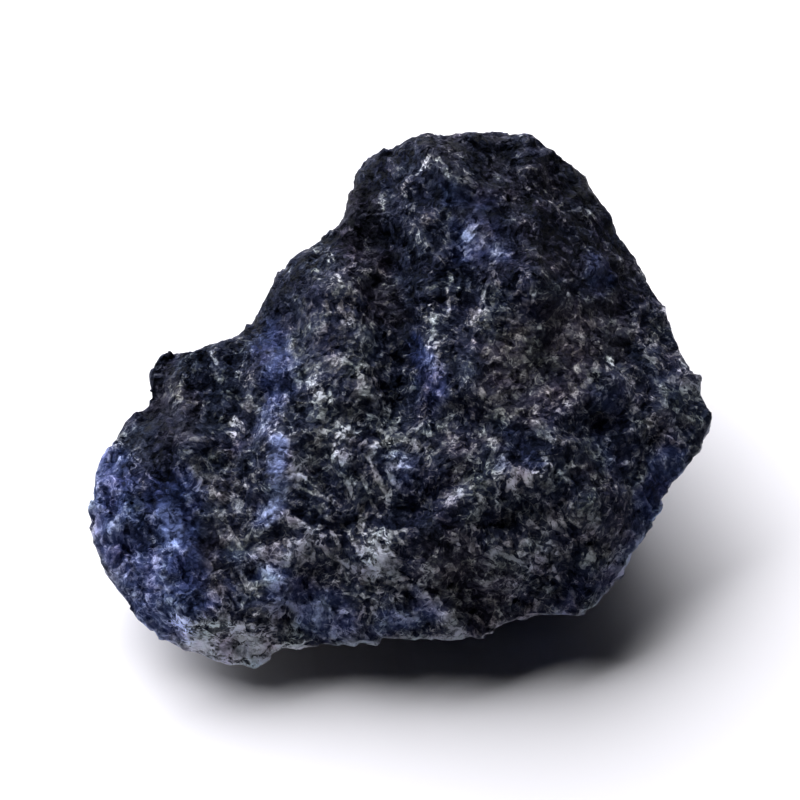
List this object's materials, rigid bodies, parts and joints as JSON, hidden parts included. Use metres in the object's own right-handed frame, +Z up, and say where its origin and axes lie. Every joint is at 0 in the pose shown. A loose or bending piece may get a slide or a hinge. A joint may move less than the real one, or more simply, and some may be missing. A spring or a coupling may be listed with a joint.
{
  "type": "rough sodalite stone",
  "caption": "Rough chunk of dark blue sodalite with a broad broken face, an undercut rim and a small flat spot to rest on.",
  "frame": {"origin": "middle of the footprint, on the surface that the stone rests on", "axes": "+X along the stone's longest side, +Y towards the high back, +Z up"},
  "size_m": [0.0604, 0.0506, 0.0286],
  "materials": {
    "sodalite": "rough broken rock, dark blue with pale veins and grey-brown grains, matt with small glints"
  },
  "bodies": {
    "root": {"sodalite_chunk": "sodalite"}
  },
  "joints": []
}
